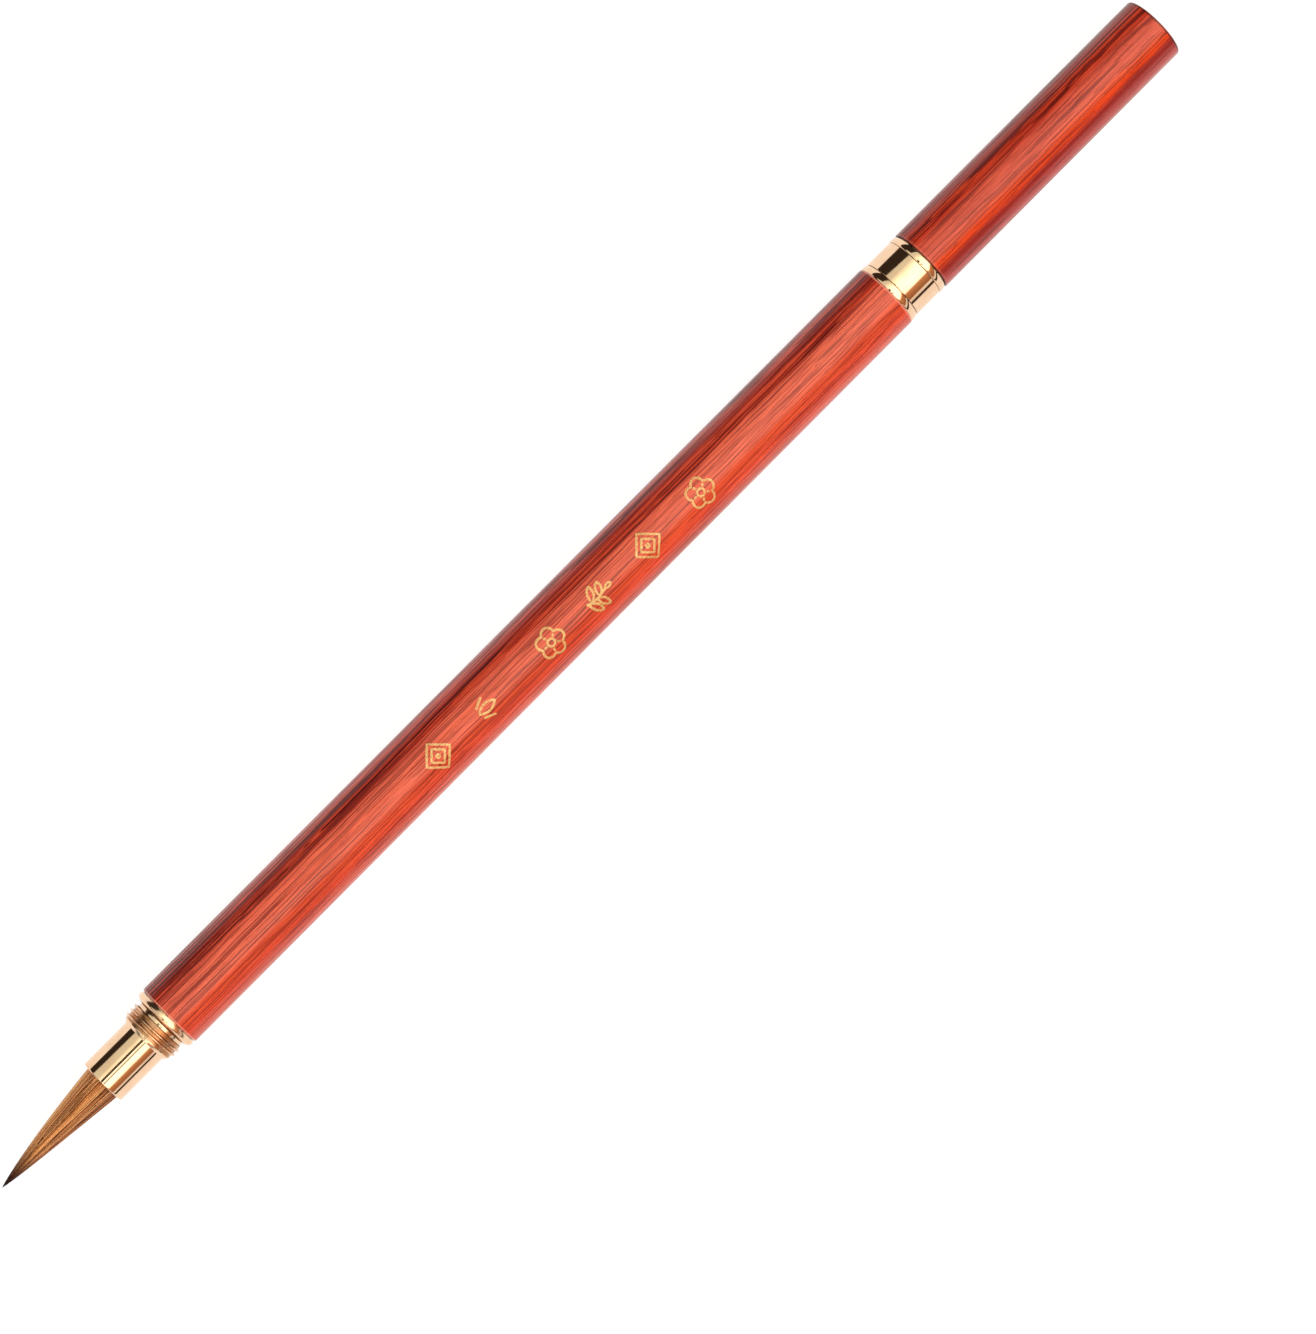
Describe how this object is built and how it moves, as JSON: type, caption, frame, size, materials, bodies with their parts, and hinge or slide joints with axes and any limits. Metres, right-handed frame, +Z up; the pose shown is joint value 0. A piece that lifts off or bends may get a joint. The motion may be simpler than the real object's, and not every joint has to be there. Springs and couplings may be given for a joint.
{
  "type": "calligraphy brush",
  "caption": "Portable small-script calligraphy brush with a wooden barrel, gilt brass fittings, a hair tuft and a screw-on wooden cap posted on its rear end.",
  "frame": {"origin": "on the table, under the middle of the brush's length", "axes": "+X along the brush from the tuft's tip to the cap's end, +Z up, +Y to the left when looking along +X; the brush lies on its side"},
  "size_m": [0.202, 0.009, 0.009],
  "materials": {
    "wood": "semi-gloss lacquered red hardwood with fine dark lengthwise grain",
    "gilt_brass": "polished gilt brass",
    "hair": "golden brown weasel-like hair, dark at the tip",
    "twine": "plain thread",
    "resin": "set resin",
    "liner_plastic": "thin moulded plastic"
  },
  "bodies": {
    "handle": {"barrel": "wood", "front_fitting": "gilt_brass", "ferrule": "gilt_brass", "hair_root": "hair", "root_binding": "twine", "root_plug": "resin", "rear_fitting": "gilt_brass"},
    "tuft": {"core_hair": "hair", "cover_hair": "hair"},
    "sleeve": {"cap_liner": "liner_plastic"},
    "cap": {"cap_tube": "wood", "cap_collar": "gilt_brass"}
  },
  "joints": [
    {"name": "tuft_flex", "type": "hinge", "parent": "handle", "child": "tuft", "pos_m": [-0.0834, 0, 0.0045], "axis": [0, 0, 1], "range_deg": [-25, 25], "stiffness_Nm_per_rad": 0.001},
    {"name": "cap_travel", "type": "slide", "parent": "handle", "child": "sleeve", "axis": [1, 0, 0], "range_m": [0, 0.0035]},
    {"name": "cap_turn", "type": "hinge", "parent": "sleeve", "child": "cap", "pos_m": [0.08, 0, 0.0045], "axis": [1, 0, 0], "range_deg": [0, 1800]}
  ],
  "couplings": [
    {"joint": "cap_turn", "follows": "cap_travel", "rad_per_m": 8976}
  ]
}
